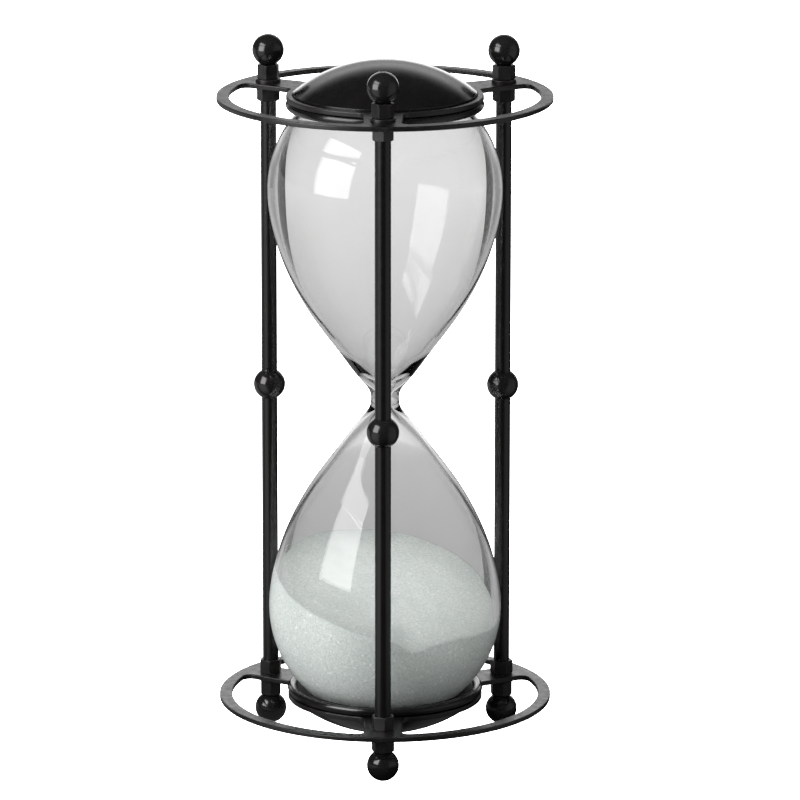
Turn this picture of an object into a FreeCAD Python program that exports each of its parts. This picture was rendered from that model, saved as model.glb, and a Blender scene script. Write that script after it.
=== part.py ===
import FreeCAD, Part
import math
import os

import Sketcher

# Hourglass: a blown glass timer held between two ring plates that three ball-ended posts join.
# Millimetres, +Z up. The origin is on the ground, on the axis of the glass.
# The object is the same above and below its middle level, except for the sand and the filling hole.
# An end piece is drawn in a frame of its own, in which z = 0 and +Z points away from the glass.

# Driving sizes: alias, value, meaning.
SIZES = (
    ("mid_level", 178.5, "height of the middle of the object"),
    ("plate_offset", 152.0, "middle to the glass side of a ring plate"),
    ("plate_thickness", 2.5, "thickness of a ring plate"),
    ("ring_radius", 83.5, "outside of the ring"),
    ("ring_hole_radius", 77.25, "inside of the ring"),
    ("hub_radius", 49.0, "outside of the hub"),
    ("hub_hole_radius", 45.8, "hole that the end cup passes through"),
    ("arm_width_hub", 20.0, "width of an arm where it leaves the hub"),
    ("arm_width_ring", 18.0, "width of an arm where it meets the ring"),
    ("arm_fillet", 4.0, "corner between an arm and the ring or the hub"),
    ("plate_edge_round", 0.45, "softened edge of a ring plate"),
    ("post_circle", 68.0, "distance of a post from the axis"),
    ("post_hole_radius", 3.3, "clearance hole for a stud"),
    ("rod_radius", 4.0, "post rod"),
    ("stud_radius", 3.0, "threaded end of a rod"),
    ("stud_bevel", 0.6, "bevel at the tip of a stud"),
    ("thread_bore_radius", 3.1, "bore of a nut or of a ball, for the stud"),
    ("nut_corner_radius", 5.77, "centre to corner of a nut"),
    ("nut_face_radius", 4.95, "flat ring on the end of a nut"),
    ("nut_bevel_drop", 0.5, "height of the bevel at a nut's corners"),
    ("inner_nut_height", 7.0, "nut on the glass side of a plate"),
    ("outer_nut_height", 7.3, "nut on the outer side of a plate"),
    ("washer_radius", 6.25, "outside of a washer"),
    ("washer_thickness", 1.6, "thickness of a washer"),
    ("washer_bevel", 0.3, "bevel at a washer's rim"),
    ("ball_radius", 8.0, "every ball"),
    ("ball_seat", 7.24, "centre of a finial ball to the flat that meets the nut"),
    ("ball_foot", 7.86, "centre of a finial ball to the flat it stands on"),
    ("socket_depth", 5.6, "blind hole in a finial ball"),
    ("stud_in_ball", 5.0, "length of stud inside a finial ball"),
    ("rod_ball_bore", 4.1, "bore of the ball at the middle of a rod"),
    ("rod_ball_drop", 0.7, "how far that ball sits below the middle"),
    ("weld_radius", 1.5, "tack weld between that ball and the rod"),
    ("cup_radius", 45.6, "outside of the end cup's wall"),
    ("cup_gauge", 1.0, "thickness of the end cup"),
    ("dome_rise", 17.0, "plate to the top of the dome"),
    ("dome_start", 0.9, "plate to where the wall turns into the dome"),
    ("bead_radius", 2.3, "section of the rolled rim"),
    ("bead_circle", 46.9, "axis to the centre of the rolled rim"),
    ("seat_outer_radius", 44.4, "outside of the rubber seat ring"),
    ("seat_lip_radius", 40.9, "edge of the seat ring nearest the middle"),
    ("seat_end_radius", 33.6, "edge of the seat ring nearest the dome"),
    ("seat_shoulder_radius", 36.5, "widest reach of the seat ring into the dome"),
    ("seat_reach", 3.0, "seat ring's extent either side of the plate's face"),
    ("seat_wall_height", 2.2, "height of the seat ring's outer wall past the plate's face"),
    ("seat_height", 7.6, "height of the seat ring past the plate's face"),
    ("bulb_radius", 58.4, "largest radius of a bulb"),
    ("bulb_length", 165.3, "middle of the neck to the end of a bulb"),
    ("neck_radius", 7.1, "outside of the neck"),
    ("neck_bore_radius", 1.7, "hole that the sand runs through"),
    ("glass_wall", 3.0, "thickness of a bulb's wall"),
    ("filling_hole_radius", 4.0, "hole in the end of the upper bulb"),
    ("plug_radius", 3.9, "part of the plug inside that hole"),
    ("plug_length", 4.0, "length of that part"),
    ("plug_head_radius", 6.5, "head of the plug"),
    ("plug_head_height", 2.2, "thickness of the plug's head"),
    ("sand_clearance", 0.25, "gap between the sand and the glass"),
    ("sand_level", 83.2, "height of the sand on the axis"),
    ("sand_fall_right", 10.8, "degrees that the sand's surface falls towards +X"),
    ("sand_fall_front", 14.6, "degrees that the sand's surface falls towards -Y"),
)

# The posts: name, angle round the axis, angle of the tack weld round the rod.
POSTS = (("front", -90.0, 90.0), ("right", 30.0, -125.0), ("left", 150.0, -105.0))

# The two ends: name, and which way is away from the glass.
ENDS = (("top", 1), ("bottom", -1))

# The angle, in degrees, at which each nut came to rest when it was tightened, post by post.
NUT_TURNS = {
    ("top", "outer"): (12.0, 0.0, 21.0),
    ("top", "inner"): (35.0, 10.0, 0.0),
    ("bottom", "outer"): (-12.0, -20.0, 30.0),
    ("bottom", "inner"): (-20.0, -5.0, 25.0),
}

# Outline of one bulb between the middle of the neck and its widest level: share of the height of that
# level, and radius in shares of the largest radius. From there to the closed end it is part of a ball.
BULB_OUTLINE = (
    (0.041, 0.135),
    (0.094, 0.209),
    (0.206, 0.363),
    (0.373, 0.589),
    (0.609, 0.832),
    (0.795, 0.949),
)
# The funnel inside the neck, where the glass is thick: the same two shares, up to where the wall is thin.
NECK_FUNNEL = (
    (0.047, 0.045),
    (0.094, 0.106),
    (0.140, 0.195),
    (0.187, 0.276),
    (0.234, 0.348),
    (0.281, 0.413),
)


class Length:
    """A number together with the expression that works it out from the sheet."""

    def __init__(self, value, text):
        self.value = value
        self.text = text

    def _join(self, sign, other, value):
        return Length(value, "(%s %s %s)" % (self.text, sign, other.text))

    def __add__(self, other):
        return self._join("+", other, self.value + other.value)

    def __sub__(self, other):
        return self._join("-", other, self.value - other.value)

    def __neg__(self):
        return Length(-self.value, "(-%s)" % self.text)

    def scaled(self, factor):
        return Length(self.value * factor, "(%s * %r)" % (self.text, factor))


ZERO = Length(0.0, "0")


class Sizes:
    """The sheet's cells as attributes, each one a Length."""

    def __init__(self, sheet):
        for alias, value, _ in SIZES:
            setattr(self, alias, Length(value, "%s.%s" % (sheet.Name, alias)))


def make_sheet(document):
    sheet = document.addObject("Spreadsheet::Sheet", "Sizes")
    for row, (alias, value, meaning) in enumerate(SIZES, start=1):
        sheet.set("A%d" % row, meaning)
        sheet.set("B%d" % row, str(value))
        sheet.setAlias("B%d" % row, alias)
    document.recompute()
    return sheet


def origin_feature(body, role):
    return next(item for item in body.Origin.OriginFeatures if item.Role == role)


def new_body(document, label):
    body = document.addObject("PartDesign::Body", label)
    body.Label = label
    return body


def add_sketch(body, name, plane="XY_Plane"):
    sketch = body.newObject("Sketcher::SketchObject", name)
    sketch.AttachmentSupport = [(origin_feature(body, plane), "")]
    sketch.MapMode = "FlatFace"
    return sketch


def pin_point(sketch, geometry, point, across, up):
    """Hold one point of a sketch at a place bound to the sheet."""
    for kind, axis, length in (("DistanceX", -2, across), ("DistanceY", -1, up)):
        if length is ZERO:
            sketch.addConstraint(Sketcher.Constraint("PointOnObject", geometry, point, axis))
        else:
            held = Sketcher.Constraint(kind, -1, 1, geometry, point, length.value)
            index = sketch.addConstraint(held)
            sketch.setExpression("Constraints[%d]" % index, length.text)


def axis_arc(start, end):
    """The arc from start to end whose centre is on the sketch's upright axis, and its end order."""
    half = (end.x ** 2 + end.y ** 2 - start.x ** 2 - start.y ** 2) / 2.0
    centre = FreeCAD.Vector(0, half / (end.y - start.y), 0)
    radius = start.distanceToPoint(centre)
    angles = [math.atan2(point.y - centre.y, point.x) for point in (start, end)]
    circle = Part.Circle(centre, FreeCAD.Vector(0, 0, 1), radius)
    arc = Part.ArcOfCircle(circle, min(angles), max(angles))
    return arc, (1, 2) if angles[0] < angles[1] else (2, 1)


def draw_outline(sketch, corners, arcs=()):
    """Draw a closed outline. A side whose number is in arcs is an arc centred on the upright axis."""
    places = [FreeCAD.Vector(across.value, up.value, 0) for across, up in corners]
    sides = []
    for index, start in enumerate(places):
        end = places[(index + 1) % len(places)]
        if index in arcs:
            shape, order = axis_arc(start, end)
        else:
            shape, order = Part.LineSegment(start, end), (1, 2)
        sides.append((sketch.addGeometry(shape, False), order))
    for index, (geometry, order) in enumerate(sides):
        following, following_order = sides[(index + 1) % len(sides)]
        joint = Sketcher.Constraint("Coincident", geometry, order[1], following, following_order[0])
        sketch.addConstraint(joint)
        pin_point(sketch, geometry, order[0], *corners[index])
        if index in arcs:
            sketch.addConstraint(Sketcher.Constraint("PointOnObject", geometry, 3, -2))


def draw_circle(sketch, radius, across=ZERO, up=ZERO):
    centre = FreeCAD.Vector(across.value, up.value, 0)
    circle = Part.Circle(centre, FreeCAD.Vector(0, 0, 1), radius.value)
    geometry = sketch.addGeometry(circle, False)
    index = sketch.addConstraint(Sketcher.Constraint("Radius", geometry, radius.value))
    sketch.setExpression("Constraints[%d]" % index, radius.text)
    pin_point(sketch, geometry, 3, across, up)


def add_primitive(body, kind, name, level=ZERO, **lengths):
    """A PartDesign primitive on the body's axis, with its base at level and its sizes bound."""
    feature = body.newObject("PartDesign::" + kind, name)
    feature.AttachmentSupport = [(origin_feature(body, "XY_Plane"), "")]
    feature.MapMode = "FlatFace"
    for measure, length in lengths.items():
        feature.setExpression(measure, length.text)
    feature.setExpression("AttachmentOffset.Base.z", level.text)
    return feature


def add_revolved(body, kind, name, outlines, arcs=()):
    """A Revolution or a Groove of closed outlines, drawn as radius and height, about the body's axis."""
    sketch = add_sketch(body, name + "Outline", "XZ_Plane")
    for corners in outlines:
        draw_outline(sketch, corners, arcs)
    feature = body.newObject("PartDesign::" + kind, name)
    feature.Profile = sketch
    feature.ReferenceAxis = (sketch, ["V_Axis"])
    feature.Angle = 360.0
    return feature


def place(item, size, level, end=1, post=None, turn=0.0):
    """Put a sub-part on the axis, or on a post, at a level; end -1 turns it upside down."""
    spin = FreeCAD.Rotation(FreeCAD.Vector(0, 0, 1), turn)
    flip = FreeCAD.Rotation(FreeCAD.Vector(0, 1, 0), 0 if end > 0 else 180)
    item.Placement = FreeCAD.Placement(FreeCAD.Vector(0, 0, 0), spin.multiply(flip))
    item.setExpression("Placement.Base.z", level.text)
    if post is not None:
        across = size.post_circle.scaled(math.cos(math.radians(post)))
        along = size.post_circle.scaled(math.sin(math.radians(post)))
        item.setExpression("Placement.Base.x", across.text)
        item.setExpression("Placement.Base.y", along.text)


def end_level(size, end, offset):
    """Height of what lies this far from the middle, above it or below it."""
    return size.mid_level + (offset if end > 0 else -offset)


def make_ring_plate(document, size, end_name, end):
    """Flat plate: a ring, a hub and three arms in one piece, with three post holes."""
    body = new_body(document, end_name + "_ring_plate")
    ring_sketch = add_sketch(body, "RingOutline")
    draw_circle(ring_sketch, size.ring_radius)
    draw_circle(ring_sketch, size.ring_hole_radius)
    ring = body.newObject("PartDesign::Pad", "Ring")
    ring.Profile = ring_sketch
    ring.setExpression("Length", size.plate_thickness.text)

    hub_sketch = add_sketch(body, "HubOutline")
    draw_circle(hub_sketch, size.hub_radius)
    draw_circle(hub_sketch, size.hub_hole_radius)
    hub = body.newObject("PartDesign::Pad", "Hub")
    hub.Profile = hub_sketch
    hub.setExpression("Length", size.plate_thickness.text)
    hub.AllowMultiFace = True

    arm_sketch = add_sketch(body, "ArmOutline")
    near = (size.hub_hole_radius + size.hub_radius).scaled(0.5)
    far = (size.ring_hole_radius + size.ring_radius).scaled(0.5)
    near_half = size.arm_width_hub.scaled(0.5)
    far_half = size.arm_width_ring.scaled(0.5)
    corners = ((-near_half, -near), (near_half, -near), (far_half, -far), (-far_half, -far))
    draw_outline(arm_sketch, corners)
    arm = body.newObject("PartDesign::Pad", "Arm")
    arm.Profile = arm_sketch
    arm.setExpression("Length", size.plate_thickness.text)
    arms = add_polar_pattern(body, "Arms", arm)
    document.recompute()

    blended = body.newObject("PartDesign::Fillet", "ArmCorners")
    blended.Base = (arms, upright_corner_edges(arms.Shape, size))
    blended.setExpression("Radius", size.arm_fillet.text)
    body.Tip = blended
    document.recompute()

    softened = body.newObject("PartDesign::Fillet", "SoftEdges")
    softened.Base = (blended, flat_rim_edges(blended.Shape, size.plate_thickness.value))
    softened.setExpression("Radius", size.plate_edge_round.text)
    body.Tip = softened

    hole_sketch = add_sketch(body, "PostHoleOutline")
    draw_circle(hole_sketch, size.post_hole_radius, ZERO, -size.post_circle)
    hole = body.newObject("PartDesign::Pocket", "PostHole")
    hole.Profile = hole_sketch
    hole.Type = "ThroughAll"
    hole.Midplane = True
    add_polar_pattern(body, "PostHoles", hole)
    place(body, size, end_level(size, end, size.plate_offset), end)
    return body


def add_polar_pattern(body, name, feature):
    """Repeat a feature at the three posts."""
    pattern = body.newObject("PartDesign::PolarPattern", name)
    pattern.Originals = [feature]
    pattern.Axis = (origin_feature(body, "Z_Axis"), [""])
    pattern.Angle = 360.0
    pattern.Occurrences = len(POSTS)
    body.Tip = pattern
    return pattern


def upright_corner_edges(shape, size):
    """The straight upright edges where the arms meet the hub and the ring."""
    names = []
    for index, edge in enumerate(shape.Edges, start=1):
        upright = edge.BoundBox.ZLength > 0.9 * size.plate_thickness.value
        round_seam = abs(edge.BoundBox.Center.y) < 0.01
        if upright and not round_seam:
            names.append("Edge%d" % index)
    return names


def flat_rim_edges(shape, thickness):
    """Every edge that bounds the lower or the upper flat face of the plate."""
    names = []
    for index, edge in enumerate(shape.Edges, start=1):
        box = edge.BoundBox
        if box.ZLength < 0.01 and min(abs(box.ZMin), abs(box.ZMin - thickness)) < 0.01:
            names.append("Edge%d" % index)
    return names


def make_rod(document, size, post_name, post):
    """Round rod, turned down at both ends to a threaded stud."""
    body = new_body(document, post_name + "_rod")
    shoulder = size.plate_offset - size.inner_nut_height
    outer_seat = size.plate_thickness + size.washer_thickness + size.outer_nut_height
    tip = size.plate_offset + outer_seat + size.stud_in_ball
    neck = tip - size.stud_bevel
    point = size.stud_radius - size.stud_bevel
    outline = (
        (ZERO, -tip),
        (point, -tip),
        (size.stud_radius, -neck),
        (size.stud_radius, -shoulder),
        (size.rod_radius, -shoulder),
        (size.rod_radius, shoulder),
        (size.stud_radius, shoulder),
        (size.stud_radius, neck),
        (point, tip),
        (ZERO, tip),
    )
    add_revolved(body, "Revolution", "Rod", (outline,))
    place(body, size, size.mid_level, post=post)
    return body


def make_rod_ball(document, size, post_name, post, weld_angle):
    """Drilled ball slid onto a rod and tacked to it with a weld."""
    body = new_body(document, post_name + "_rod_ball")
    add_primitive(body, "AdditiveSphere", "Ball", Radius=size.ball_radius)
    weld = add_primitive(body, "AdditiveSphere", "Weld", size.ball_radius - size.weld_radius.scaled(0.4),
                         Radius=size.weld_radius)
    across = size.rod_radius.scaled(math.cos(math.radians(weld_angle)))
    along = size.rod_radius.scaled(math.sin(math.radians(weld_angle)))
    weld.setExpression("AttachmentOffset.Base.x", across.text)
    weld.setExpression("AttachmentOffset.Base.y", along.text)
    add_primitive(body, "SubtractiveCylinder", "RodBore", -size.ball_radius.scaled(1.5),
                  Radius=size.rod_ball_bore, Height=size.ball_radius.scaled(3.0))
    place(body, size, size.mid_level - size.rod_ball_drop, post=post)
    return body


def make_nut(document, size, label, height, end, offset, post, turn):
    """Hexagon nut with its corners bevelled at both faces."""
    body = new_body(document, label)
    prism = add_primitive(body, "AdditivePrism", "Hexagon", Circumradius=size.nut_corner_radius,
                          Height=height)
    prism.Polygon = 6
    add_primitive(body, "SubtractiveCylinder", "ThreadBore", Radius=size.thread_bore_radius,
                  Height=height)
    outside = size.nut_corner_radius.scaled(1.1)
    bevel_reach = size.nut_corner_radius - size.nut_face_radius
    cut_reach = outside - size.nut_face_radius
    drop = size.nut_bevel_drop.scaled(cut_reach.value / bevel_reach.value)
    lower = ((size.nut_face_radius, ZERO), (outside, ZERO), (outside, drop))
    upper = ((size.nut_face_radius, height), (outside, height - drop), (outside, height))
    add_revolved(body, "Groove", "CornerBevels", (lower, upper))
    place(body, size, end_level(size, end, offset), end, post, turn)
    return body


def make_washer(document, size, label, end, offset, post):
    """Flat washer with a bevelled outer rim."""
    body = new_body(document, label)
    rim = size.washer_radius - size.washer_bevel
    top = size.washer_thickness
    outline = (
        (size.post_hole_radius, ZERO),
        (size.washer_radius, ZERO),
        (size.washer_radius, top - size.washer_bevel),
        (rim, top),
        (size.post_hole_radius, top),
    )
    add_revolved(body, "Revolution", "Washer", (outline,))
    place(body, size, end_level(size, end, offset), end, post)
    return body


def make_finial(document, size, label, end, offset, post):
    """Ball with a flat and a threaded socket on the nut's side and a small flat to stand on."""
    body = new_body(document, label)
    add_primitive(body, "AdditiveSphere", "Ball", size.ball_seat, Radius=size.ball_radius)
    waste = size.ball_radius.scaled(0.5)
    add_primitive(body, "SubtractiveCylinder", "SeatFlat", -waste, Radius=size.ball_radius,
                  Height=waste)
    add_primitive(body, "SubtractiveCylinder", "StandingFlat", size.ball_seat + size.ball_foot,
                  Radius=size.ball_radius, Height=waste)
    add_primitive(body, "SubtractiveCylinder", "Socket", Radius=size.thread_bore_radius,
                  Height=size.socket_depth)
    place(body, size, end_level(size, end, offset), end, post)
    return body


def make_end_cup(document, size, end_name, end):
    """Spun cup: a dome outside the plate, a wall through the hub and a rolled rim on the glass side."""
    body = new_body(document, end_name + "_end_cup")
    inner_radius = size.cup_radius - size.cup_gauge
    rim_level = size.bead_radius
    outer_face = size.plate_thickness
    inner_top = outer_face + size.dome_rise - size.cup_gauge
    outline = (
        (ZERO, outer_face + size.dome_rise),
        (size.cup_radius, outer_face + size.dome_start),
        (size.cup_radius, -rim_level),
        (inner_radius, -rim_level),
        (inner_radius, outer_face + size.dome_start.scaled(0.6)),
        (ZERO, inner_top),
    )
    add_revolved(body, "Revolution", "Dome", (outline,), arcs=(0, 4))
    add_primitive(body, "AdditiveTorus", "RolledRim", -rim_level, Radius1=size.bead_circle,
                  Radius2=size.bead_radius)
    place(body, size, end_level(size, end, size.plate_offset), end)
    return body


def make_seat_ring(document, size, end_name, end):
    """Rubber ring inside the cup, with a cone that the shoulder of the glass rests in."""
    body = new_body(document, end_name + "_seat_ring")
    outline = (
        (size.seat_lip_radius, -size.seat_reach),
        (size.seat_outer_radius, -size.seat_reach),
        (size.seat_outer_radius, size.seat_wall_height),
        (size.seat_shoulder_radius, size.seat_height),
        (size.seat_end_radius, size.seat_reach),
    )
    add_revolved(body, "Revolution", "SeatRing", (outline,))
    place(body, size, end_level(size, end, size.plate_offset), end)
    return body


def make_filling_plug(document, size):
    """Rubber stopper in the filling hole, hidden under the upper dome."""
    body = new_body(document, "filling_plug")
    add_primitive(body, "AdditiveCylinder", "Head", Radius=size.plug_head_radius,
                  Height=size.plug_head_height)
    add_primitive(body, "AdditiveCylinder", "Stem", -size.plug_length, Radius=size.plug_radius,
                  Height=size.plug_length)
    place(body, size, size.mid_level + size.bulb_length)
    return body


def widest_level(size):
    """Height of the largest radius of a bulb above the middle of the neck."""
    return size.bulb_length.value - size.bulb_radius.value


def rising_curve(points):
    """Curve through the points, given as radius and height, that is upright at both ends."""
    upright = FreeCAD.Vector(0, 0, 1)
    curve = Part.BSplineCurve()
    places = [FreeCAD.Vector(radius, 0, height) for radius, height in points]
    curve.interpolate(Points=places, InitialTangent=upright, FinalTangent=upright, Scale=False)
    return curve


def curve_points(size, shares):
    """Radius and height of the places that a table gives as shares of the bulb's size."""
    widest = widest_level(size)
    radius = size.bulb_radius.value
    return [(radius_share * radius, height_share * widest) for height_share, radius_share in shares]


def outer_points(size):
    neck = (size.neck_radius.value, 0)
    return [neck] + curve_points(size, BULB_OUTLINE) + [(size.bulb_radius.value, widest_level(size))]


def inner_points(size, depth):
    """A funnel at the neck, and above it the outer outline moved inwards by depth."""
    outline = outer_points(size)
    outer = rising_curve(outline)
    points = [(size.neck_bore_radius.value, 0)] + curve_points(size, NECK_FUNNEL)
    funnel_height = points[-1][1]
    for radius, height in outline:
        if height > funnel_height:
            along = outer.tangent(outer.parameter(FreeCAD.Vector(radius, 0, height)))[0]
            points.append((radius - along.z * depth, height + along.x * depth))
    return points


def revolved_bulb(size, points, depth):
    """Solid of one bulb, standing on the middle of the neck; depth is how far inside the glass it is."""
    centre = FreeCAD.Vector(0, 0, 0)
    side = rising_curve(points).toShape()
    radius = size.bulb_radius.value - depth
    ball_centre = FreeCAD.Vector(0, 0, widest_level(size))
    level = FreeCAD.Vector(radius, 0, 0) + ball_centre
    slant = FreeCAD.Vector(radius * math.cos(math.pi / 4), 0, radius * math.sin(math.pi / 4)) + ball_centre
    end = FreeCAD.Vector(0, 0, radius) + ball_centre
    neck = FreeCAD.Vector(points[0][0], 0, 0)
    closing = Part.Arc(level, slant, end).toShape()
    wire = Part.Wire([Part.makeLine(centre, neck), side, closing, Part.makeLine(end, centre)])
    return Part.Face(wire).revolve(centre, FreeCAD.Vector(0, 0, 1), 360)


def mirrored_down(shape):
    return shape.mirror(FreeCAD.Vector(0, 0, 0), FreeCAD.Vector(0, 0, 1))


def make_glass(document, size):
    """One blown piece: two bulbs and the neck between them, with a filling hole at the top."""
    wall = size.glass_wall.value
    outer = revolved_bulb(size, outer_points(size), 0)
    hollow = revolved_bulb(size, inner_points(size, wall), wall)
    bulb = outer.cut(hollow)
    glass = bulb.fuse(mirrored_down(bulb))
    drill_base = FreeCAD.Vector(0, 0, size.bulb_length.value - 2 * wall)
    drill = Part.makeCylinder(size.filling_hole_radius.value, 3 * wall, drill_base)
    item = document.addObject("Part::Feature", "glass_bulbs")
    item.Label = "glass_bulbs"
    item.Shape = glass.cut(drill)
    place(item, size, size.mid_level)
    return item


def make_sand(document, size):
    """All the sand, lying in the lower bulb with a sloping surface."""
    depth = size.glass_wall.value + size.sand_clearance.value
    hollow = mirrored_down(revolved_bulb(size, inner_points(size, depth), depth))
    reach = 3 * size.bulb_radius.value
    air = Part.makeBox(reach, reach, reach, FreeCAD.Vector(-reach / 2, -reach / 2, 0))
    slope_right = FreeCAD.Rotation(FreeCAD.Vector(0, 1, 0), size.sand_fall_right.value)
    slope_front = FreeCAD.Rotation(FreeCAD.Vector(1, 0, 0), size.sand_fall_front.value)
    level = FreeCAD.Vector(0, 0, size.sand_level.value - size.mid_level.value)
    air.Placement = FreeCAD.Placement(level, slope_right.multiply(slope_front))
    item = document.addObject("Part::Feature", "sand")
    item.Label = "sand"
    item.Shape = hollow.cut(air)
    place(item, size, size.mid_level)
    return item


def make_end(document, size, end_name, end):
    """Every piece at one end of the object."""
    parts = [
        make_ring_plate(document, size, end_name, end),
        make_end_cup(document, size, end_name, end),
        make_seat_ring(document, size, end_name, end),
    ]
    plate_back = size.plate_offset + size.plate_thickness
    outer_nut_base = plate_back + size.washer_thickness
    finial_base = outer_nut_base + size.outer_nut_height
    for number, (post_name, post, _) in enumerate(POSTS):
        label = "%s_%s_" % (end_name, post_name)
        inner_turn = NUT_TURNS[end_name, "inner"][number]
        outer_turn = NUT_TURNS[end_name, "outer"][number]
        parts.append(make_nut(document, size, label + "inner_nut", size.inner_nut_height, end,
                              size.plate_offset - size.inner_nut_height, post, inner_turn))
        parts.append(make_washer(document, size, label + "washer", end, plate_back, post))
        parts.append(make_nut(document, size, label + "outer_nut", size.outer_nut_height, end,
                              outer_nut_base, post, outer_turn))
        parts.append(make_finial(document, size, label + "ball", end, finial_base, post))
    return parts


def make_hourglass(document):
    size = Sizes(make_sheet(document))
    parts = []
    for end_name, end in ENDS:
        parts += make_end(document, size, end_name, end)
    for post_name, post, weld_angle in POSTS:
        parts.append(make_rod(document, size, post_name, post))
        parts.append(make_rod_ball(document, size, post_name, post, weld_angle))
    parts.append(make_glass(document, size))
    parts.append(make_sand(document, size))
    parts.append(make_filling_plug(document, size))
    return parts


def check_document(document, parts):
    """Stop if anything failed, or a sub-part is not one sound solid."""
    for item in document.Objects:
        faults = [word for word in item.State if word in ("Invalid", "Error")]
        if faults:
            raise RuntimeError("%s failed: %s" % (item.Label, faults))
    for part in parts:
        shape = part.Shape
        if shape.isNull() or not shape.isValid() or len(shape.Solids) != 1:
            raise RuntimeError("%s is not one sound solid" % part.Label)


def main():
    document = FreeCAD.newDocument("Hourglass")
    parts = make_hourglass(document)
    document.recompute()
    check_document(document, parts)
    os.makedirs("parts", exist_ok=True)
    for part in parts:
        part.Shape.exportStep("parts/%s.step" % part.Label)
        box = part.Shape.BoundBox
        print("%-26s z %7.2f to %7.2f" % (part.Label, box.ZMin, box.ZMax))


main()
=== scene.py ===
"""Looks for the hourglass: paint, rubber, glass and sand, with its light, floor and camera.

Lengths are metres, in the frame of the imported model: Z up, the front rod at -Y.
"""

import math
from collections import namedtuple

import bmesh
import bpy
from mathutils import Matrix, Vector, noise


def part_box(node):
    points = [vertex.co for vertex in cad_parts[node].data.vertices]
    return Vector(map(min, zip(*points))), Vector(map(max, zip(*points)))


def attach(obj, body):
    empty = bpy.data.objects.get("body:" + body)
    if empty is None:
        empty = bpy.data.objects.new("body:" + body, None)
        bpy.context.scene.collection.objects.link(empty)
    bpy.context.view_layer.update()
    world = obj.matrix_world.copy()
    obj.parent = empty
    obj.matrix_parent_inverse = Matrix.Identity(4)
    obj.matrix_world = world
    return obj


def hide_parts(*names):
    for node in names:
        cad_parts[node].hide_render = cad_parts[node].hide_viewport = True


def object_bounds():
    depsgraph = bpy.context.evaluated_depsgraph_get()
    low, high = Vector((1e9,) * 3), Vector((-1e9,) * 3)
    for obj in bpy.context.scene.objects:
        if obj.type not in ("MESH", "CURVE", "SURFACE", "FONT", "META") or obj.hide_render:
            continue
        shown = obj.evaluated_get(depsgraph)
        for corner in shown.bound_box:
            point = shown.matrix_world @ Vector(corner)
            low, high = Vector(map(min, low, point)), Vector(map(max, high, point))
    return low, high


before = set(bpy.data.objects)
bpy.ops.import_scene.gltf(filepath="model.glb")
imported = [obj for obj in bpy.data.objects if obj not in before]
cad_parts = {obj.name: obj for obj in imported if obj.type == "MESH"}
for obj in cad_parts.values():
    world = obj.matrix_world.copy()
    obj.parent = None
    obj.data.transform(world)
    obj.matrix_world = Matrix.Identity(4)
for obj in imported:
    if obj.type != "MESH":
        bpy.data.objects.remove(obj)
CAD_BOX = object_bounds()

ENDS = ("top", "bottom")
POSTS = ("front", "right", "left")
FITTINGS = ("inner_nut", "washer", "outer_nut")
WHITE = (1.0, 1.0, 1.0, 1.0)
NOISE_SPREAD = (0.3, 0.7)  # nearly all of a noise lies between these values
NONE_TO_ALL = (0.0, 1.0)

# ---------------------------------------------------------------- node helpers


def add_node(tree, kind, settings=None, values=None):
    """A new node with its settings and the values of its unlinked inputs."""
    made = tree.nodes.new(kind)
    for name, value in (settings or {}).items():
        setattr(made, name, value)
    for name, value in (values or {}).items():
        made.inputs[name].default_value = value
    return made


def add_maths(tree, operation, first, second):
    """A Math node. Each input is a socket or a number."""
    made = add_node(tree, "ShaderNodeMath", {"operation": operation})
    for place, source in enumerate((first, second)):
        if isinstance(source, (int, float)):
            made.inputs[place].default_value = source
        else:
            tree.links.new(source, made.inputs[place])
    return made.outputs[0]


def add_absolute(tree, source):
    """A value without its sign."""
    return add_maths(tree, "ABSOLUTE", source, 0.0)


def add_vector_maths(tree, operation, source):
    """A Vector Math node with its first input linked."""
    made = add_node(tree, "ShaderNodeVectorMath", {"operation": operation})
    tree.links.new(source, made.inputs[0])
    return made


def add_axes(tree, source):
    """The X, Y and Z of a vector, as outputs with those names."""
    made = add_node(tree, "ShaderNodeSeparateXYZ")
    tree.links.new(source, made.inputs[0])
    return made.outputs


def add_range(tree, source, found, wanted, smooth=True):
    """A Map Range node, which turns one pair of values into another."""
    made = add_node(
        tree,
        "ShaderNodeMapRange",
        {"interpolation_type": "SMOOTHSTEP" if smooth else "LINEAR"},
        {"From Min": found[0], "From Max": found[1], "To Min": wanted[0], "To Max": wanted[1]},
    )
    tree.links.new(source, made.inputs["Value"])
    return made.outputs["Result"]


def add_noise(tree, place, scale, detail, roughness=0.55):
    """The value of a noise with about `scale` features a metre."""
    made = add_node(
        tree, "ShaderNodeTexNoise", None, {"Scale": scale, "Detail": detail, "Roughness": roughness}
    )
    tree.links.new(place, made.inputs["Vector"])
    return made.outputs["Fac"]


def add_colours(tree, factor, stops):
    """A colour ramp through (position, colour) stops."""
    made = add_node(tree, "ShaderNodeValToRGB")
    ramp = made.color_ramp
    while len(ramp.elements) < len(stops):
        ramp.elements.new(0.5)
    for element, (position, colour) in zip(ramp.elements, stops):
        element.position = position
        element.color = (*colour, 1.0)
    tree.links.new(factor, made.inputs["Fac"])
    return made.outputs["Color"]


def add_shades(tree, clouds, dark, light):
    """A colour that drifts between two shades with a noise."""
    return add_colours(tree, clouds, tuple(zip(NOISE_SPREAD, (dark, light))))


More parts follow.
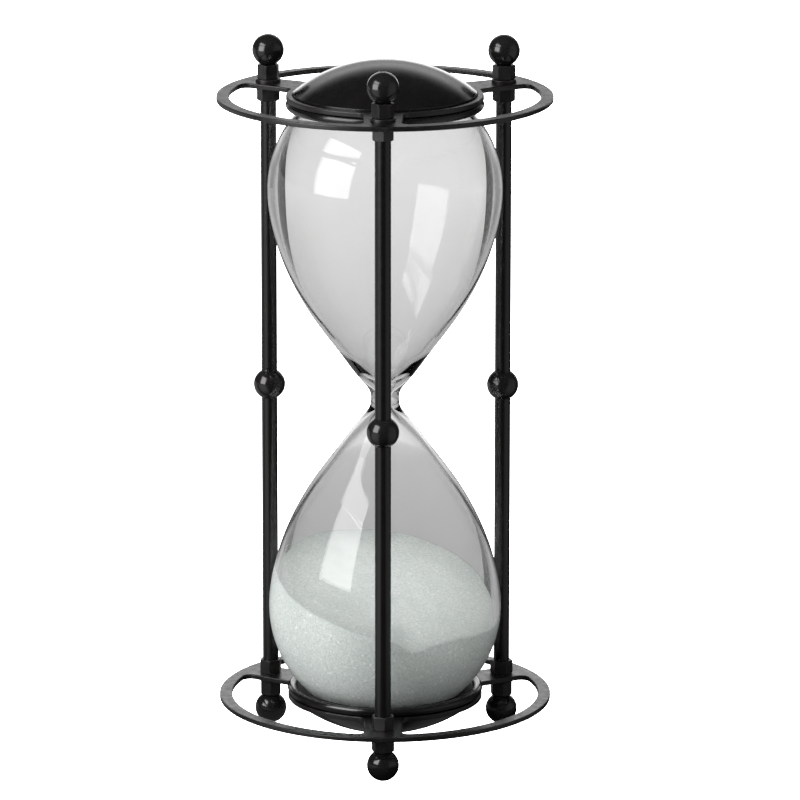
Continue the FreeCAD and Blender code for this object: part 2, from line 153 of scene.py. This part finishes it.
def add_blend(tree, factor, first, second):
    """A mix of two colours. Each is a socket or a colour."""
    made = add_node(tree, "ShaderNodeMix", {"data_type": "RGBA"})
    tree.links.new(factor, made.inputs["Factor"])
    for name, source in (("A", first), ("B", second)):
        socket = next(s for s in made.inputs if s.name == name and s.type == "RGBA")
        if isinstance(source, tuple):
            socket.default_value = (*source, 1.0)
        else:
            tree.links.new(source, socket)
    return next(s for s in made.outputs if s.type == "RGBA")


def add_bump(tree, height, distance, strength=1.0, normal=None):
    """A Bump node whose full height is `distance` metres."""
    made = add_node(tree, "ShaderNodeBump", None, {"Distance": distance, "Strength": strength})
    tree.links.new(height, made.inputs["Height"])
    if normal is not None:
        tree.links.new(normal, made.inputs["Normal"])
    return made.outputs["Normal"]


def new_material(name, surface="ShaderNodeBsdfPrincipled"):
    """An empty material, its tree, its surface shader and the place it is painted by."""
    material = bpy.data.materials.new(name)
    material.use_nodes = True
    tree = material.node_tree
    tree.nodes.clear()
    shader = add_node(tree, surface)
    output = add_node(tree, "ShaderNodeOutputMaterial")
    tree.links.new(shader.outputs[0], output.inputs["Surface"])
    place = add_node(tree, "ShaderNodeTexCoord").outputs["Object"]
    return material, tree, shader, place


# ---------------------------------------------------------------- paint

# One black paint: its darkest and lightest colour, its roughness where it is smooth and where it is dull,
# the height of its skin, the width of its rounded edges, and how far those are rubbed, from 0 to 1.
Paint = namedtuple("Paint", "dark light smooth dull skin_height edge_width wear")

PAINTS = {
    "stand_black": Paint(
        dark=(0.0045, 0.0040, 0.0036),
        light=(0.008, 0.0070, 0.0062),
        smooth=0.28,
        dull=0.42,
        skin_height=0.00004,
        edge_width=0.0005,
        wear=0.8,
    ),
    "cap_black": Paint(
        dark=(0.004, 0.0038, 0.0035),
        light=(0.007, 0.0066, 0.0062),
        smooth=0.14,
        dull=0.22,
        skin_height=0.00001,
        edge_width=0.0004,
        wear=0.5,
    ),
    "hardware_black": Paint(
        dark=(0.005, 0.0045, 0.0042),
        light=(0.010, 0.0092, 0.0085),
        smooth=0.28,
        dull=0.42,
        skin_height=0.00004,
        edge_width=0.0004,
        wear=0.8,
    ),
    "ball_black": Paint(
        dark=(0.0075, 0.0070, 0.0068),
        light=(0.011, 0.0103, 0.0098),
        smooth=0.13,
        dull=0.19,
        skin_height=0.00001,
        edge_width=0.0003,
        wear=0.1,
    ),
    "rod_black": Paint(
        dark=(0.0030, 0.0026, 0.0023),
        light=(0.0050, 0.0044, 0.0040),
        smooth=0.18,
        dull=0.27,
        skin_height=0.000008,
        edge_width=0.0003,
        wear=0.1,
    ),
}

# Features a metre, detail, and roughness where it isn't the usual one.
PAINT_CLOUDS = (55.0, 4.0)
PAINT_SKIN = (1400.0, 2.0)
PAINT_SCUFFS = (260.0, 5.0, 0.7)

BEVEL_SAMPLES = 4
SKIN_STRENGTH = 0.6
PAINT_SPECULAR = 0.9
WORN_PAINT = (0.075, 0.064, 0.056)
EDGE_COSINES = (0.995, 0.8)  # of the angle between rounded and true face, where rubbing starts and is full
RUBBED_NOISE = (0.45, 0.62)
RUBBED_SHARE = (0.15, 1.0)


def make_paint(name):
    """Black paint on steel: cloudy colour and gloss, a fine orange-peel skin and rubbed edges."""
    paint = PAINTS[name]
    material, tree, shader, place = new_material(name)
    clouds = add_noise(tree, place, *PAINT_CLOUDS)
    skin = add_noise(tree, place, *PAINT_SKIN)
    scuffs = add_noise(tree, place, *PAINT_SCUFFS)

    colour = add_shades(tree, clouds, paint.dark, paint.light)
    rounded = add_node(
        tree, "ShaderNodeBevel", {"samples": BEVEL_SAMPLES}, {"Radius": paint.edge_width}
    ).outputs[0]
    facing = add_vector_maths(tree, "DOT_PRODUCT", rounded)
    tree.links.new(add_node(tree, "ShaderNodeNewGeometry").outputs["Normal"], facing.inputs[1])
    edge = add_range(tree, facing.outputs["Value"], EDGE_COSINES, NONE_TO_ALL)
    patches = add_range(tree, scuffs, RUBBED_NOISE, RUBBED_SHARE)
    rubbed = add_maths(tree, "MULTIPLY", edge, patches)
    share = add_maths(tree, "MULTIPLY", rubbed, paint.wear)
    tree.links.new(add_blend(tree, share, colour, WORN_PAINT), shader.inputs["Base Color"])

    gloss = add_range(tree, scuffs, NOISE_SPREAD, (paint.smooth, paint.dull))
    tree.links.new(gloss, shader.inputs["Roughness"])
    shader.inputs["Specular IOR Level"].default_value = PAINT_SPECULAR
    normal = add_bump(tree, skin, paint.skin_height, SKIN_STRENGTH, rounded)
    tree.links.new(normal, shader.inputs["Normal"])
    return material


# ---------------------------------------------------------------- rubber, glass and sand

RUBBER_DARK = (0.006, 0.006, 0.006)
RUBBER_LIGHT = (0.014, 0.014, 0.013)
RUBBER_ROUGHNESS = (0.55, 0.75)
RUBBER_CLOUDS = (120.0, 3.0)  # features a metre and detail, as in the noises below
RUBBER_GRAIN = (2200.0, 3.0)
RUBBER_GRAIN_HEIGHT = 0.00004

GLASS_COLOUR = (0.87, 0.872, 0.868, 1.0)
GLASS_REFRACTION = 1.46
GLASS_WAVES = (14.0, 0.0)
GLASS_WAVE_HEIGHT = 0.0001
GLASS_WAVE_STRENGTH = 0.5

SAND_DARK = (0.76, 0.81, 0.785)
SAND_LIGHT = (0.84, 0.88, 0.86)
SAND_DRIFTS = (40.0, 3.0)
SAND_GRAINS = (850.0, 2.0, 0.9)
SAND_FLECKS = (480.0, 1.0)
GRAIN_SHADE = (0.46, 0.52, 0.49)
GRAIN_NOISE = (0.42, 0.64)
GRAIN_SHARE = (0.0, 0.50)
GRAIN_HEIGHT = 0.0003
GRAIN_STRENGTH = 0.5
# A painted glint: the few glinting grains are painted near white, besides being smoother.
PAINTED_GLINT_COLOUR = (0.98, 0.99, 0.98)
GLINT_NOISE = (0.655, 0.70)
SAND_ROUGHNESS = (0.85, 0.25)  # of a grain, and of a glint


def make_rubber(name):
    """Dull black rubber with a fine grain."""
    material, tree, shader, place = new_material(name)
    clouds = add_noise(tree, place, *RUBBER_CLOUDS)
    tree.links.new(add_shades(tree, clouds, RUBBER_DARK, RUBBER_LIGHT), shader.inputs["Base Color"])
    roughness = add_range(tree, clouds, NOISE_SPREAD, RUBBER_ROUGHNESS)
    tree.links.new(roughness, shader.inputs["Roughness"])
    grain = add_noise(tree, place, *RUBBER_GRAIN)
    tree.links.new(add_bump(tree, grain, RUBBER_GRAIN_HEIGHT), shader.inputs["Normal"])
    return material


def make_glass(name):
    """Clear blown glass, faintly grey-green, with a slow waviness."""
    material, tree, shader, place = new_material(name)
    shader.inputs["Base Color"].default_value = GLASS_COLOUR
    shader.inputs["Transmission Weight"].default_value = 1.0
    shader.inputs["IOR"].default_value = GLASS_REFRACTION
    shader.inputs["Roughness"].default_value = 0.0
    waves = add_noise(tree, place, *GLASS_WAVES)
    normal = add_bump(tree, waves, GLASS_WAVE_HEIGHT, GLASS_WAVE_STRENGTH)
    tree.links.new(normal, shader.inputs["Normal"])
    return material


def make_sand_look(name):
    """Fine pale sand: single grains differ in shade and a few glint, smoother and with a painted glint
    whitening their colour.
    """
    material, tree, shader, place = new_material(name)
    drifts = add_noise(tree, place, *SAND_DRIFTS)
    grains = add_noise(tree, place, *SAND_GRAINS)
    flecks = add_noise(tree, place, *SAND_FLECKS)

    body = add_shades(tree, drifts, SAND_DARK, SAND_LIGHT)
    shade = add_range(tree, grains, GRAIN_NOISE, GRAIN_SHARE, smooth=False)
    shaded = add_blend(tree, shade, body, GRAIN_SHADE)
    # A painted glint: near-white colour where the flecks are, on top of a smoother surface that really
    # glints.
    glint = add_range(tree, flecks, GLINT_NOISE, NONE_TO_ALL)
    tree.links.new(add_blend(tree, glint, shaded, PAINTED_GLINT_COLOUR), shader.inputs["Base Color"])
    roughness = add_range(tree, glint, NONE_TO_ALL, SAND_ROUGHNESS)
    tree.links.new(roughness, shader.inputs["Roughness"])
    tree.links.new(add_bump(tree, grains, GRAIN_HEIGHT, GRAIN_STRENGTH), shader.inputs["Normal"])
    return material


def paint_nodes(nodes, material):
    """Gives CAD nodes this material."""
    for name in nodes:
        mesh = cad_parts[name].data
        mesh.materials.clear()
        mesh.materials.append(material)


def paint_everything():
    """A finish for each kind of CAD node."""
    fittings = [f"{end}_{post}_{part}" for end in ENDS for post in POSTS for part in FITTINGS]
    balls = [f"{end}_{post}_ball" for end in ENDS for post in POSTS]
    balls += [f"{post}_rod_ball" for post in POSTS]
    paint_nodes([f"{end}_ring_plate" for end in ENDS], make_paint("stand_black"))
    paint_nodes([f"{end}_end_cup" for end in ENDS], make_paint("cap_black"))
    paint_nodes(fittings, make_paint("hardware_black"))
    paint_nodes(balls, make_paint("ball_black"))
    paint_nodes([f"{post}_rod" for post in POSTS], make_paint("rod_black"))
    paint_nodes([f"{end}_seat_ring" for end in ENDS] + ["filling_plug"], make_rubber("seat_black"))


# ---------------------------------------------------------------- shape of the glass

MIDDLE = (CAD_BOX[0].z + CAD_BOX[1].z) / 2  # height of the middle of the neck
BULB_RADIUS = 0.0584
WIDEST = 0.1069  # middle of the neck to the widest level of a bulb
GLASS_WALL = 0.003
NECK_RADIUS = 0.0071
NECK_BORE = 0.0017  # its radius
FILLING_HOLE = 0.004  # its radius
GLASS_TURNS = 200
WALL_RINGS = 75  # rings from the neck's middle to a bulb's widest level
WALL_CROWDING = 1.5  # above 1, those rings are closest together at the neck
CAP_RINGS = 44  # rings from the widest level to the closed end
SLOPE_PASSES = 200
TINY = 0.000001

# The glass outside, as shares of WIDEST and BULB_RADIUS, as in the CAD.
OUTLINE = ((0.041, 0.135), (0.094, 0.209), (0.206, 0.363), (0.373, 0.589), (0.609, 0.832), (0.795, 0.949))
# The funnel inside the thick neck, in the same shares.
FUNNEL = ((0.047, 0.045), (0.094, 0.106), (0.140, 0.195), (0.187, 0.276), (0.234, 0.348), (0.281, 0.413))


def measured(shares):
    """Heights above the neck's middle and radii, from shares."""
    return [(height * WIDEST, radius * BULB_RADIUS) for height, radius in shares]


def slopes(points):
    """The slope at each point of the smoothest curve through them that is upright at both ends."""
    gaps = [after[0] - before[0] for before, after in zip(points, points[1:])]
    rises = [(after[1] - before[1]) / gap for before, after, gap in zip(points, points[1:], gaps)]
    found = [0.0] * len(points)
    for _ in range(SLOPE_PASSES):
        for k in range(1, len(points) - 1):
            left, right = 1 / gaps[k - 1], 1 / gaps[k]
            pull = 3 * (rises[k - 1] * left + rises[k] * right)
            found[k] = (pull - found[k - 1] * left - found[k + 1] * right) / (2 * (left + right))
    return found


class Profile:
    """The radius of one face of the glass by height, the same above and below the neck's middle."""

    def __init__(self, neck, points, depth):
        self.ball = BULB_RADIUS - depth
        self.points = [(0.0, neck)] + points + [(WIDEST, self.ball)]
        self.slopes = slopes(self.points)

    def radius(self, height):
        """The radius at a height above the ground."""
        above = abs(height - MIDDLE)
        if above >= WIDEST:
            return math.sqrt(max(self.ball ** 2 - (above - WIDEST) ** 2, 0.0))
        k = max(n for n, point in enumerate(self.points[:-1]) if point[0] <= above)
        (low, near), (high, far) = self.points[k], self.points[k + 1]
        gap = high - low
        t = (above - low) / gap
        start = near * (1 + 2 * t) * (1 - t) ** 2 + self.slopes[k] * gap * t * (1 - t) ** 2
        return start + far * t * t * (3 - 2 * t) - self.slopes[k + 1] * gap * t * t * (1 - t)

    def rings(self):
        """(radius, height) from the lower pole up to the filling hole."""
        mouth = math.acos(FILLING_HOLE / self.ball)
        bottom = []
        top = []
        for n in range(CAP_RINGS + 1):
            angle = math.pi / 2 * n / CAP_RINGS
            bottom.append((self.ball * math.sin(angle), MIDDLE - WIDEST - self.ball * math.cos(angle)))
            angle = mouth * n / CAP_RINGS
            top.append((self.ball * math.cos(angle), MIDDLE + WIDEST + self.ball * math.sin(angle)))
        wall = []
        for n in range(1 - WALL_RINGS, WALL_RINGS):
            share = abs(n / WALL_RINGS) ** WALL_CROWDING
            height = MIDDLE + math.copysign(WIDEST * share, n)
            wall.append((self.radius(height), height))
        return bottom + wall + top


OUTSIDE = Profile(NECK_RADIUS, measured(OUTLINE), 0.0)
FUNNEL_TOP = FUNNEL[-1][0] * WIDEST
THIN = [(height, radius - GLASS_WALL) for height, radius in measured(OUTLINE) if height > FUNNEL_TOP]
INSIDE = Profile(NECK_BORE, measured(FUNNEL) + THIN, GLASS_WALL)

# ---------------------------------------------------------------- mesh helpers


def turned(turns):
    """The angles of this many equal turns."""
    return [2 * math.pi * turn / turns for turn in range(turns)]


def around(radius, angle, height):
    """The point at this radius, angle and height."""
    return (radius * math.cos(angle), radius * math.sin(angle), height)


def join_loops(builder, loops):
    """Faces between each loop of points and the next. A loop of one point is a pole."""
    for upper, lower in zip(loops, loops[1:]):
        turns = max(len(upper), len(lower))
        for turn in range(turns):
            after = (turn + 1) % turns
            corners = [upper[turn % len(upper)], lower[turn % len(lower)]]
            corners += [lower[after % len(lower)], upper[after % len(upper)]]
            builder.faces.new(list(dict.fromkeys(corners)))
    bmesh.ops.recalc_face_normals(builder, faces=builder.faces)


def add_piece(name, builder, material, node):
    """A smooth piece from mesh code, which stands for a CAD node."""
    mesh = bpy.data.meshes.new(name)
    builder.to_mesh(mesh)
    builder.free()
    for face in mesh.polygons:
        face.use_smooth = True
    mesh.materials.append(material)
    piece = bpy.data.objects.new(name, mesh)
    bpy.context.scene.collection.objects.link(piece)
    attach(piece, "root")
    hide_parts(node)


# ---------------------------------------------------------------- glass


def make_glass_piece():
    """Both bulbs as one fine skin: up the outside, in through the filling hole and down the inside."""
    builder = bmesh.new()
    loops = []
    for radius, height in OUTSIDE.rings() + INSIDE.rings()[::-1]:
        angles = turned(GLASS_TURNS) if radius >= TINY else [0.0]
        loops.append([builder.verts.new(around(radius, angle, height)) for angle in angles])
    join_loops(builder, loops)
    for loop in loops:
        at_mouth = abs(loop[0].co.xy.length - FILLING_HOLE) < TINY and loop[0].co.z > MIDDLE
        if at_mouth:
            for vertex, after in zip(loop, loop[1:] + loop[:1]):
                builder.edges.get((vertex, after)).smooth = False
    add_piece("blown_bulbs", builder, make_glass("blown_glass"), "glass_bulbs")


# ---------------------------------------------------------------- sand

SAND_LEVEL = 0.0832  # height of the heap's middle
SAND_FALL = Vector((-0.191, 0.260))  # rise of the heap per metre along X and Y
SAND_PRESS = 0.00008  # how far the sand is pressed into the glass, so that no air shows between them
SAND_REACH = 0.06  # no sand lies further out than this
SAND_TURNS = 256
SAND_RINGS = 96
SAND_LEVELS = 90
EDGE_PASSES = 24

SWELL_HEIGHT = 0.0006
SWELL_PACE_X = 95.0  # radians a metre
SWELL_PACE_Y = 70.0
SWELL_START_X = 0.6  # radians at the middle
SWELL_START_Y = -0.4
RIPPLE_HEIGHT = 0.0005
RIPPLE_PACE = 110.0  # features a metre
RIPPLE_SLICE = 0.5  # which level of the solid noise is used

# A soft hollow in the heap: its middle, how far it reaches and its depth.
Hollow = namedtuple("Hollow", "x y reach_x reach_y depth")
HOLLOWS = (
    Hollow(-0.020, 0.052, 0.018, 0.022, 0.0026),
    Hollow(0.014, -0.047, 0.0075, 0.010, 0.0055),
    Hollow(0.058, -0.012, 0.016, 0.026, 0.0045),
)


def heap_height(x, y):
    """The sand's surface: a leaning heap with a few hollows, soft swells and ripples."""
    lean = SAND_LEVEL + SAND_FALL.x * x + SAND_FALL.y * y
    along = math.sin(SWELL_PACE_X * x + SWELL_START_X)
    across = math.cos(SWELL_PACE_Y * y + SWELL_START_Y)
    ripple = noise.noise(Vector((RIPPLE_PACE * x, RIPPLE_PACE * y, RIPPLE_SLICE)))
    sunk = 0.0
    for hollow in HOLLOWS:
        off = ((x - hollow.x) / hollow.reach_x) ** 2 + ((y - hollow.y) / hollow.reach_y) ** 2
        sunk += hollow.depth * math.exp(-off)
    return lean + SWELL_HEIGHT * along * across + RIPPLE_HEIGHT * ripple - sunk


def sand_point(radius, angle):
    """The point of the heap's surface at this radius and angle."""
    x, y, _ = around(radius, angle, 0.0)
    return (x, y, heap_height(x, y))


def edge_radius(angle):
    """How far out along this angle the heap's surface meets the glass."""
    low, high = 0.0, SAND_REACH
    for _ in range(EDGE_PASSES):
        middle = (low + high) / 2
        if middle < INSIDE.radius(sand_point(middle, angle)[2]) + SAND_PRESS:
            low = middle
        else:
            high = middle
    return low


def make_sand():
    """The sand as one closed skin: the heap's surface, then down along the glass to the bottom."""
    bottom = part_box("sand")[0].z
    builder = bmesh.new()
    angles = turned(SAND_TURNS)
    edges = [edge_radius(angle) for angle in angles]
    rims = [sand_point(edge, angle)[2] for edge, angle in zip(edges, angles)]

    loops = [[sand_point(0.0, 0.0)]]
    for ring in range(1, SAND_RINGS + 1):
        share = ring / SAND_RINGS
        loops.append([sand_point(share * edge, angle) for edge, angle in zip(edges, angles)])
    for level in range(1, SAND_LEVELS):
        share = math.sin(math.pi / 2 * level / SAND_LEVELS)
        heights = [rim + (bottom - rim) * share for rim in rims]
        radii = [INSIDE.radius(height) + SAND_PRESS for height in heights]
        loops.append([around(*measures) for measures in zip(radii, angles, heights)])
    loops.append([(0.0, 0.0, bottom)])
    join_loops(builder, [[builder.verts.new(point) for point in loop] for loop in loops])
    add_piece("sand_heap", builder, make_sand_look("pale_sand"), "sand")


# ---------------------------------------------------------------- light by direction and kind of ray

# Light round one azimuth. It starts and is full at these cosines of the angle from it.
Lobe = namedtuple("Lobe", "azimuth start full brightness")

EYE_WHITE = 4.0  # added for the eye alone, so that it sees plain white
ONE_BOUNCE = 0.5  # a count of bounces above this is at least one


def direction_of(azimuth, elevation):
    """The unit vector towards this azimuth, from the camera's side and turning right, and elevation."""
    a, e = math.radians(azimuth), math.radians(elevation)
    return Vector((math.sin(a) * math.cos(e), -math.cos(a) * math.cos(e), math.sin(e)))


def add_lobes(tree, direction, lobes, everywhere):
    """The brightness of these lobes on top of an even one."""
    total = everywhere
    for lobe in lobes:
        facing = add_vector_maths(tree, "DOT_PRODUCT", direction)
        facing.inputs[1].default_value = direction_of(lobe.azimuth, 0.0)
        cosines = (lobe.start, lobe.full)
        light = add_range(tree, facing.outputs["Value"], cosines, (0.0, lobe.brightness))
        total = add_maths(tree, "ADD", light, total)
    return total


def choose(tree, switch, when_off, when_on):
    """One of two brightnesses, by a switch that is 0 or 1."""
    off = add_maths(tree, "MULTIPLY", add_maths(tree, "SUBTRACT", 1.0, switch), when_off)
    on = add_maths(tree, "MULTIPLY", switch, when_on)
    return add_maths(tree, "ADD", off, on)


def for_each_ray(tree, mirrored, through, ambient):
    """White to the eye, and one brightness each for mirrors, for glass and for dull surfaces."""
    rays = add_node(tree, "ShaderNodeLightPath")
    clear = choose(tree, rays.outputs["Is Transmission Ray"], mirrored, through)
    dull = add_maths(tree, "GREATER_THAN", rays.outputs["Diffuse Depth"], ONE_BOUNCE)
    lit = choose(tree, dull, clear, ambient)
    eye = add_maths(tree, "MULTIPLY", rays.outputs["Is Camera Ray"], EYE_WHITE)
    return add_maths(tree, "ADD", lit, eye)


# ---------------------------------------------------------------- floor, backdrop and world

BACKDROP_DISTANCE = 1.4
BACKDROP_WIDTH = 2.4
BACKDROP_HEIGHT = 1.6

# What glass shows is bright up to the first distance to either side, and dim from the second.
CLEAR_VIEW = (0.22, 0.60)
VIEW_BRIGHT = 1.08
VIEW_DIM = 0.38  # as a share of the bright part

FLOOR_SIZE = 60.0
FLOOR_DROP = 0.0002  # just below the feet, so that no two faces lie in one plane
FLOOR_MIRRORED = 0.04
# In mirrors the floor glows brighter towards the lights and the back: painted pools of light.
FLOOR_LOBES = (
    Lobe(azimuth=-54.0, start=0.80, full=0.98, brightness=0.45),
    Lobe(azimuth=-128.0, start=0.80, full=0.98, brightness=0.40),
    Lobe(azimuth=70.0, start=0.70, full=0.97, brightness=0.20),
    Lobe(azimuth=180.0, start=0.88, full=1.0, brightness=0.45),
)
FLOOR_AMBIENT = 0.22
# For dull surfaces the floor glows brighter towards the left softbox: a painted pool of its light.
FLOOR_LIGHT_POOL = (Lobe(azimuth=-60.0, start=0.2, full=0.95, brightness=2.0),)

# Distances from the middle and the floor's brightness there: in mirrors, on dull surfaces, through glass.
# Darker near the middle as a painted shadow of the object.
MIRRORED_REACH = (0.05, 0.35)
MIRRORED_SHADOW_SHARE = (0.25, 1.0)
AMBIENT_REACH = (0.05, 0.25)
AMBIENT_SHADOW_SHARE = (0.35, 1.0)
THROUGH_REACH = (0.35, BACKDROP_DISTANCE)
THROUGH_BRIGHT = (0.56, VIEW_BRIGHT)

# Shares of the backdrop's height, and its brightness there before the gain: painted light, brightest low
# down.
BACKDROP_SHADES = (
    (0.0, 0.17),
    (0.10, 0.20),
    (0.20, 1.0),
    (0.275, 0.85),
    (0.3125, 0.45),
    (0.36, 0.14),
    (0.5, 0.32),
    (0.65, 0.48),
    (0.75, 0.25),
    (0.875, 0.10),
    (1.0, 0.04),
)
BACKDROP_GAIN = 2.6
BACKDROP_AMBIENT = 1.0
BACKDROP_SIDES = (0.12, 0.48)  # shares of its width to either side, where it is full and has faded
BACKDROP_FADE = (1.0, 0.06)

WORLD_MIRRORED = 0.04
WORLD_LOBES = (Lobe(azimuth=75.0, start=0.70, full=0.97, brightness=0.16),)
WORLD_THROUGH = 0.16
SKY_RISE = (0.0, 0.9)
SKY_LIGHT = (0.7, 2.2)


def add_plane(name, size, place):
    """A square plane."""
    bpy.ops.mesh.primitive_plane_add(size=size, location=place)
    plane = bpy.context.object
    plane.name = name
    return plane


def make_floor():
    """A plain white sweep: even white to the eye, softer in what the object mirrors and bends, with
    painted pools of light and a painted shadow of the object round its middle.
    """
    floor = add_plane("floor", FLOOR_SIZE, (0.0, 0.0, -FLOOR_DROP))
    material, tree, glow, place = new_material("floor_white", "ShaderNodeEmission")
    direction = add_vector_maths(tree, "NORMALIZE", place).outputs[0]
    reach = add_vector_maths(tree, "LENGTH", place).outputs["Value"]

    # Painted pools of light on the floor, as the object mirrors it.
    lobes = add_lobes(tree, direction, FLOOR_LOBES, FLOOR_MIRRORED)
    # A painted shadow of the object: in mirrors the floor darkens towards the middle.
    shaded = add_range(tree, reach, MIRRORED_REACH, MIRRORED_SHADOW_SHARE)
    mirrored = add_maths(tree, "MULTIPLY", lobes, shaded)

    # A painted pool of the left softbox's light on the floor, for dull surfaces.
    window = add_lobes(tree, direction, FLOOR_LIGHT_POOL, FLOOR_AMBIENT)
    # A painted shadow of the object: for dull surfaces the floor also darkens towards the middle.
    ambient = add_maths(tree, "MULTIPLY", window, add_range(tree, reach, AMBIENT_REACH, AMBIENT_SHADOW_SHARE))

    # A painted shadow of the object: through glass the floor darkens towards the middle.
    far = add_range(tree, reach, THROUGH_REACH, THROUGH_BRIGHT, smooth=False)
    aside = add_absolute(tree, add_axes(tree, place)["X"])
    through = add_maths(tree, "MULTIPLY", far, add_range(tree, aside, CLEAR_VIEW, (1.0, VIEW_DIM)))

    glow.inputs["Color"].default_value = WHITE
    tree.links.new(for_each_ray(tree, mirrored, through, ambient), glow.inputs["Strength"])
    floor.data.materials.append(material)


def make_backdrop():
    """A wall behind the object that the camera doesn't see, glowing with painted light, brightest low
    down.
    """
    backdrop = add_plane("backdrop", 1.0, (0.0, BACKDROP_DISTANCE, BACKDROP_HEIGHT / 2))
    backdrop.rotation_euler = (math.radians(90.0), 0.0, 0.0)
    backdrop.scale = (BACKDROP_WIDTH, BACKDROP_HEIGHT, 1.0)
    backdrop.visible_camera = False
    material, tree, glow, place = new_material("backdrop_white", "ShaderNodeEmission")
    axes = add_axes(tree, place)
    up = add_maths(tree, "ADD", axes["Y"], 0.5)  # 0 at the floor and 1 at the top
    aside = add_absolute(tree, axes["X"])

    # Painted light: the wall's glow in bands by height.
    shades = add_colours(tree, up, [(height, (value, value, value)) for height, value in BACKDROP_SHADES])
    faded = add_maths(tree, "MULTIPLY", shades, add_range(tree, aside, BACKDROP_SIDES, BACKDROP_FADE))
    mirrored = add_maths(tree, "MULTIPLY", faded, BACKDROP_GAIN)

    clear = [distance / BACKDROP_WIDTH for distance in CLEAR_VIEW]
    through = add_range(tree, aside, clear, (VIEW_BRIGHT, VIEW_BRIGHT * VIEW_DIM))

    glow.inputs["Color"].default_value = WHITE
    tree.links.new(for_each_ray(tree, mirrored, through, BACKDROP_AMBIENT), glow.inputs["Strength"])
    backdrop.data.materials.append(material)


def make_world():
    """A white studio: brighter from above on dull surfaces, dim in mirrors and glass, white to the eye."""
    world = bpy.data.worlds.new("studio")
    world.use_nodes = True
    bpy.context.scene.world = world
    tree = world.node_tree
    tree.nodes.clear()
    direction = add_node(tree, "ShaderNodeTexCoord").outputs["Generated"]
    mirrored = add_lobes(tree, direction, WORLD_LOBES, WORLD_MIRRORED)
    above = add_range(tree, add_axes(tree, direction)["Z"], SKY_RISE, SKY_LIGHT)
    glow = add_node(tree, "ShaderNodeBackground", None, {"Color": WHITE})
    tree.links.new(for_each_ray(tree, mirrored, WORLD_THROUGH, above), glow.inputs["Strength"])
    output = add_node(tree, "ShaderNodeOutputWorld")
    tree.links.new(glow.outputs[0], output.inputs["Surface"])


# ---------------------------------------------------------------- lights and camera

# An area light, placed and sized in degrees as the upper bulb's middle sees it.
Softbox = namedtuple("Softbox", "name azimuth elevation across tall distance radiance")

# A tall window-like softbox at the left, and a second pane above and beyond it.
SOFTBOXES = (
    Softbox("left_softbox", -53.0, 16.0, across=38.0, tall=32.0, distance=1.0, radiance=4.2),
    Softbox("left_upper_pane", -56.0, 41.0, across=38.0, tall=13.0, distance=1.7, radiance=4.0),
)
UPPER_BULB = Vector((0.0, 0.0, MIDDLE + WIDEST))

CAMERA_PLACE = (0.0462, -3.0765, 0.9206)
CAMERA_TILT = 76.44  # degrees up from looking straight down
CAMERA_TURN = 0.86  # degrees to the left
CAMERA_SENSOR = 36.0  # millimetres, as is the lens
CAMERA_LENS = 284.85
CAMERA_SHIFT_X = 0.0187
CAMERA_SHIFT_Y = -0.0021
CAMERA_CLIP = 100.0


def span(distance, degrees):
    """The width that fills an angle at a distance."""
    return 2 * distance * math.tan(math.radians(degrees) / 2)


def make_lights():
    """The softboxes, each facing the upper bulb and hidden from the camera."""
    for box in SOFTBOXES:
        lamp = bpy.data.lights.new(box.name, "AREA")
        lamp.shape = "RECTANGLE"
        lamp.size = span(box.distance, box.across)
        lamp.size_y = span(box.distance, box.tall)
        lamp.energy = box.radiance * math.pi * lamp.size * lamp.size_y
        holder = bpy.data.objects.new(box.name, lamp)
        bpy.context.scene.collection.objects.link(holder)
        towards = direction_of(box.azimuth, box.elevation)
        holder.location = UPPER_BULB + box.distance * towards
        holder.rotation_mode = "QUATERNION"
        holder.rotation_quaternion = towards.to_track_quat("Z", "Y")
        holder.visible_camera = False


def make_camera():
    """A long lens, well above the object and looking down at it."""
    data = bpy.data.cameras.new("camera")
    data.sensor_width = CAMERA_SENSOR
    data.lens = CAMERA_LENS
    data.shift_x = CAMERA_SHIFT_X
    data.shift_y = CAMERA_SHIFT_Y
    data.clip_end = CAMERA_CLIP
    camera = bpy.data.objects.new("camera", data)
    bpy.context.scene.collection.objects.link(camera)
    camera.location = CAMERA_PLACE
    camera.rotation_euler = (math.radians(CAMERA_TILT), 0.0, math.radians(CAMERA_TURN))
    bpy.context.scene.camera = camera


def make_view():
    """Plain colours, with no film look over them."""
    view = bpy.context.scene.view_settings
    view.view_transform = "Standard"
    view.look = "None"


paint_everything()
make_glass_piece()
make_sand()
make_floor()
make_backdrop()
make_world()
make_lights()
make_camera()
make_view()
